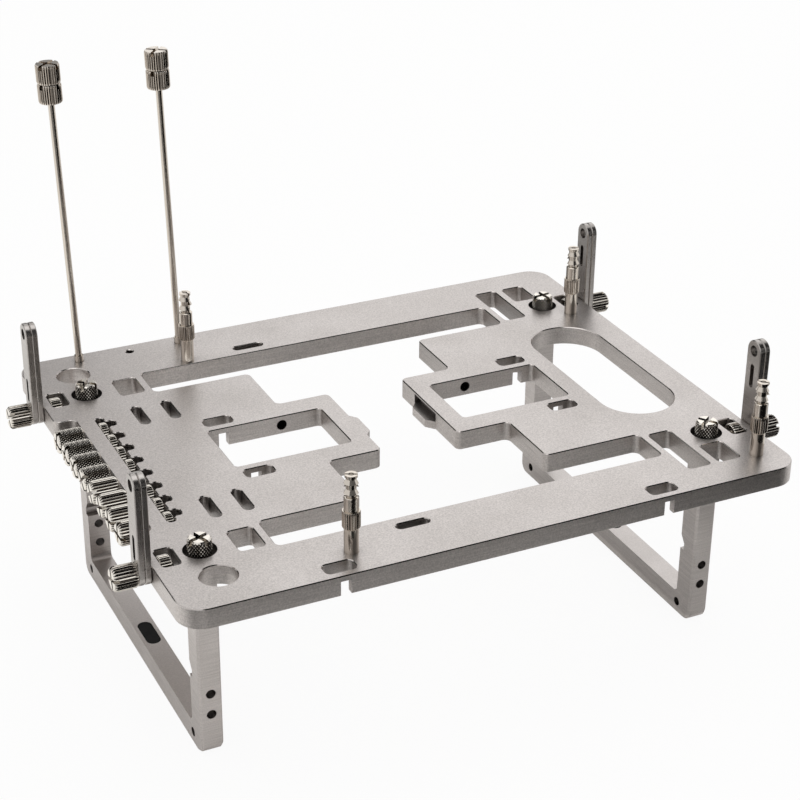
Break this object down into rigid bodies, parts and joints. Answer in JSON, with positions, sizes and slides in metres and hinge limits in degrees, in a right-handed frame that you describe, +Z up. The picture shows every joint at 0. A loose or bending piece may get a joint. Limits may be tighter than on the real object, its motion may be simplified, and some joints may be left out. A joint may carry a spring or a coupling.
{
  "type": "open air test bench",
  "caption": "Open-air computer test bench: slotted aluminium tray on two U frames, with board standoffs, clamp bars, card posts and a rack of spare thumbscrews.",
  "frame": {"origin": "on the surface that the bench stands on, under the middle of the tray", "axes": "+X to the right along the tray, +Y to the rear where the card posts stand, +Z up"},
  "size_m": [0.255, 0.19, 0.1983],
  "materials": {
    "anodised": "bead-blasted warm grey anodising",
    "nickel": "bright nickel plate on turned steel",
    "rubber": "matt black"
  },
  "bodies": {
    "bench": {"tray": "anodised", "left_leg_frame": "anodised", "left_leg_insert": "rubber", "right_leg_frame": "anodised", "right_leg_insert": "rubber", "left_front_leg_screw": "nickel", "left_front_clamp_screw": "nickel", "left_front_clamp_nut": "nickel", "left_rear_leg_screw": "nickel", "left_rear_clamp_screw": "nickel", "left_rear_clamp_nut": "nickel", "right_front_leg_screw": "nickel", "right_front_clamp_screw": "nickel", "right_front_clamp_nut": "nickel", "right_rear_leg_screw": "nickel", "right_rear_clamp_screw": "nickel", "right_rear_clamp_nut": "nickel", "spare_screw_1": "nickel", "spare_nut_1": "nickel", "spare_screw_2": "nickel", "spare_nut_2": "nickel", "spare_screw_3": "nickel", "spare_nut_3": "nickel", "spare_screw_4": "nickel", "spare_nut_4": "nickel", "spare_screw_5": "nickel", "spare_nut_5": "nickel", "spare_screw_6": "nickel", "spare_nut_6": "nickel", "spare_screw_7": "nickel", "spare_nut_7": "nickel", "spare_screw_8": "nickel", "spare_nut_8": "nickel", "left_front_standoff": "nickel", "left_front_standoff_collar": "nickel", "left_rear_standoff": "nickel", "left_rear_standoff_collar": "nickel", "right_front_standoff": "nickel", "right_front_standoff_collar": "nickel", "right_rear_standoff": "nickel", "right_rear_standoff_collar": "nickel", "left_card_post": "nickel", "left_card_post_lower_nut": "nickel", "left_card_post_upper_nut": "nickel", "right_card_post": "nickel", "right_card_post_lower_nut": "nickel", "right_card_post_upper_nut": "nickel"},
    "left_front_inner_bar": {"left_front_inner_clamp_bar": "anodised"},
    "left_front_outer_bar": {"left_front_outer_clamp_bar": "anodised"},
    "left_rear_inner_bar": {"left_rear_inner_clamp_bar": "anodised"},
    "left_rear_outer_bar": {"left_rear_outer_clamp_bar": "anodised"},
    "right_front_inner_bar": {"right_front_inner_clamp_bar": "anodised"},
    "right_front_outer_bar": {"right_front_outer_clamp_bar": "anodised"},
    "right_rear_inner_bar": {"right_rear_inner_clamp_bar": "anodised"},
    "right_rear_outer_bar": {"right_rear_outer_clamp_bar": "anodised"},
    "left_front_release_pin": {"left_front_standoff_pin": "nickel"},
    "left_rear_release_pin": {"left_rear_standoff_pin": "nickel"},
    "right_front_release_pin": {"right_front_standoff_pin": "nickel"},
    "right_rear_release_pin": {"right_rear_standoff_pin": "nickel"}
  },
  "joints": [
    {"name": "left_front_inner_bar_swing", "type": "hinge", "parent": "bench", "child": "left_front_inner_bar", "pos_m": [-0.11613, -0.0609, 0.0751], "axis": [1, 0, 0], "range_deg": [-70, 180]},
    {"name": "left_front_outer_bar_swing", "type": "hinge", "parent": "bench", "child": "left_front_outer_bar", "pos_m": [-0.11832, -0.0609, 0.0751], "axis": [1, 0, 0], "continuous": true},
    {"name": "left_rear_inner_bar_swing", "type": "hinge", "parent": "bench", "child": "left_rear_inner_bar", "pos_m": [-0.11613, 0.0609, 0.0751], "axis": [1, 0, 0], "range_deg": [-180, 70]},
    {"name": "left_rear_outer_bar_swing", "type": "hinge", "parent": "bench", "child": "left_rear_outer_bar", "pos_m": [-0.11832, 0.0609, 0.0751], "axis": [1, 0, 0], "continuous": true},
    {"name": "right_front_inner_bar_swing", "type": "hinge", "parent": "bench", "child": "right_front_inner_bar", "pos_m": [0.11613, -0.0609, 0.0751], "axis": [1, 0, 0], "continuous": true},
    {"name": "right_front_outer_bar_swing", "type": "hinge", "parent": "bench", "child": "right_front_outer_bar", "pos_m": [0.11832, -0.0609, 0.0751], "axis": [1, 0, 0], "continuous": true},
    {"name": "right_rear_inner_bar_swing", "type": "hinge", "parent": "bench", "child": "right_rear_inner_bar", "pos_m": [0.11613, 0.0609, 0.0751], "axis": [1, 0, 0], "continuous": true},
    {"name": "right_rear_outer_bar_swing", "type": "hinge", "parent": "bench", "child": "right_rear_outer_bar", "pos_m": [0.11832, 0.0609, 0.0751], "axis": [1, 0, 0], "continuous": true},
    {"name": "left_front_release_pin_press", "type": "slide", "parent": "bench", "child": "left_front_release_pin", "axis": [0, 0, -1], "range_m": [0, 0.0015], "stiffness_N_per_m": 1200, "springref_m": -0.0005},
    {"name": "left_rear_release_pin_press", "type": "slide", "parent": "bench", "child": "left_rear_release_pin", "axis": [0, 0, -1], "range_m": [0, 0.0015], "stiffness_N_per_m": 1200, "springref_m": -0.0005},
    {"name": "right_front_release_pin_press", "type": "slide", "parent": "bench", "child": "right_front_release_pin", "axis": [0, 0, -1], "range_m": [0, 0.0015], "stiffness_N_per_m": 1200, "springref_m": -0.0005},
    {"name": "right_rear_release_pin_press", "type": "slide", "parent": "bench", "child": "right_rear_release_pin", "axis": [0, 0, -1], "range_m": [0, 0.0015], "stiffness_N_per_m": 1200, "springref_m": -0.0005}
  ]
}
